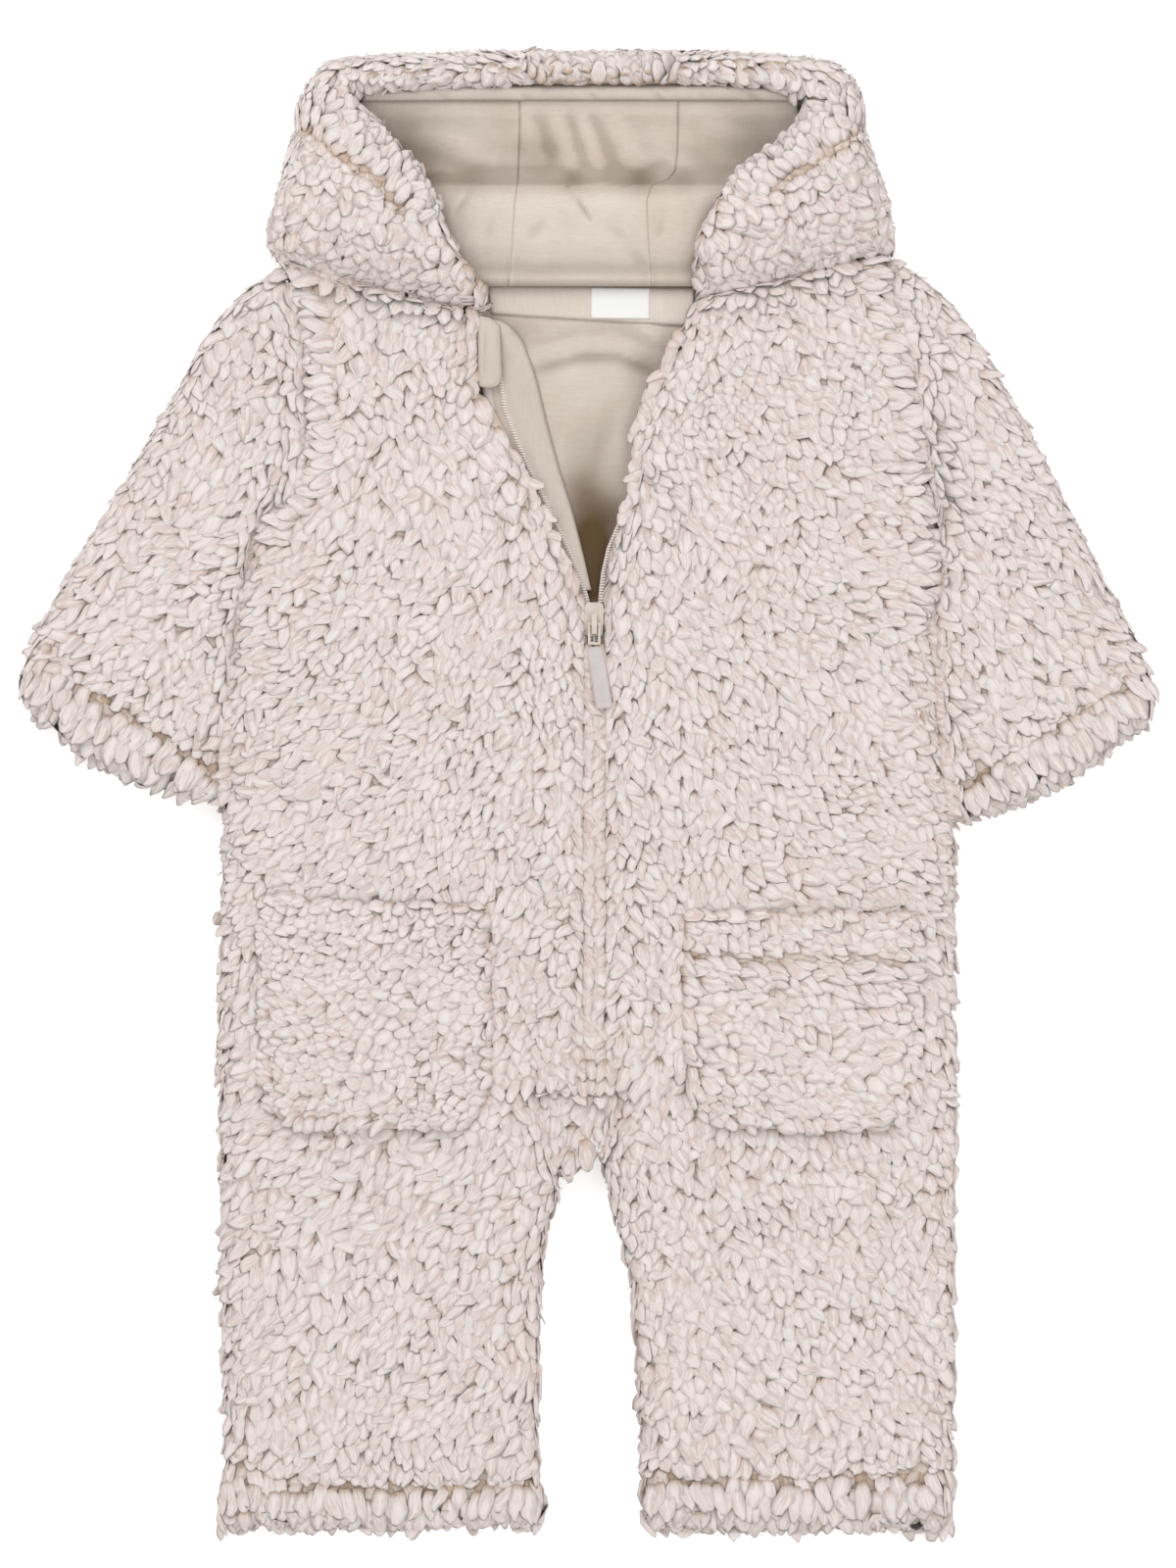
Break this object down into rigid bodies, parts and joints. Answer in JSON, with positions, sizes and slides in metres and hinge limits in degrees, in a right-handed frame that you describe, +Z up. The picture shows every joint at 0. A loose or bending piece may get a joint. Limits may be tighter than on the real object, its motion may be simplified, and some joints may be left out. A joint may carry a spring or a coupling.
{
  "type": "baby snowsuit",
  "caption": "Hooded baby overall in teddy fleece, laid flat and open at the neck, with a front zip, patch pockets, wide sleeves and a lined hood.",
  "frame": {"origin": "on the surface that the garment lies on, below the middle of its outline", "axes": "+X towards the wearer's left, +Y from the leg hems to the hood, +Z up, away from the surface"},
  "size_m": [0.504, 0.654, 0.042],
  "materials": {
    "teddy_fleece": "curly teddy pile, pinkish cream",
    "lining_jersey": "soft beige jersey",
    "facing_jersey": "soft beige jersey",
    "label_satin": "white woven satin, bare",
    "zip_tape": "cream tape with a nylon coil",
    "slider_paint": "pale greyish lilac enamel, satin"
  },
  "bodies": {
    "suit": {"front_right": "teddy_fleece", "front_left": "teddy_fleece", "back_right": "teddy_fleece", "back_left": "teddy_fleece", "crotch_gusset": "teddy_fleece", "sleeve_right": "teddy_fleece", "sleeve_left": "teddy_fleece", "pocket_right": "teddy_fleece", "pocket_left": "teddy_fleece", "hood_centre": "teddy_fleece", "hood_side_right": "teddy_fleece", "hood_side_left": "teddy_fleece", "lining_hood_right": "lining_jersey", "lining_hood_centre": "lining_jersey", "lining_hood_left": "lining_jersey", "lining_back": "lining_jersey", "hood_casing": "facing_jersey", "neck_tape": "facing_jersey", "placket": "facing_jersey", "chin_guard": "facing_jersey", "label": "label_satin", "zip_right": "zip_tape", "zip_left": "zip_tape", "zip_slider": "slider_paint"},
    "pull": {"pull_link": "slider_paint", "pull_tab": "slider_paint"}
  },
  "joints": [
    {"name": "pull_swing", "type": "hinge", "parent": "suit", "child": "pull", "pos_m": [0.0032, 0.0735, 0.01595], "axis": [-1, 0, 0], "range_deg": [0, 140]}
  ]
}
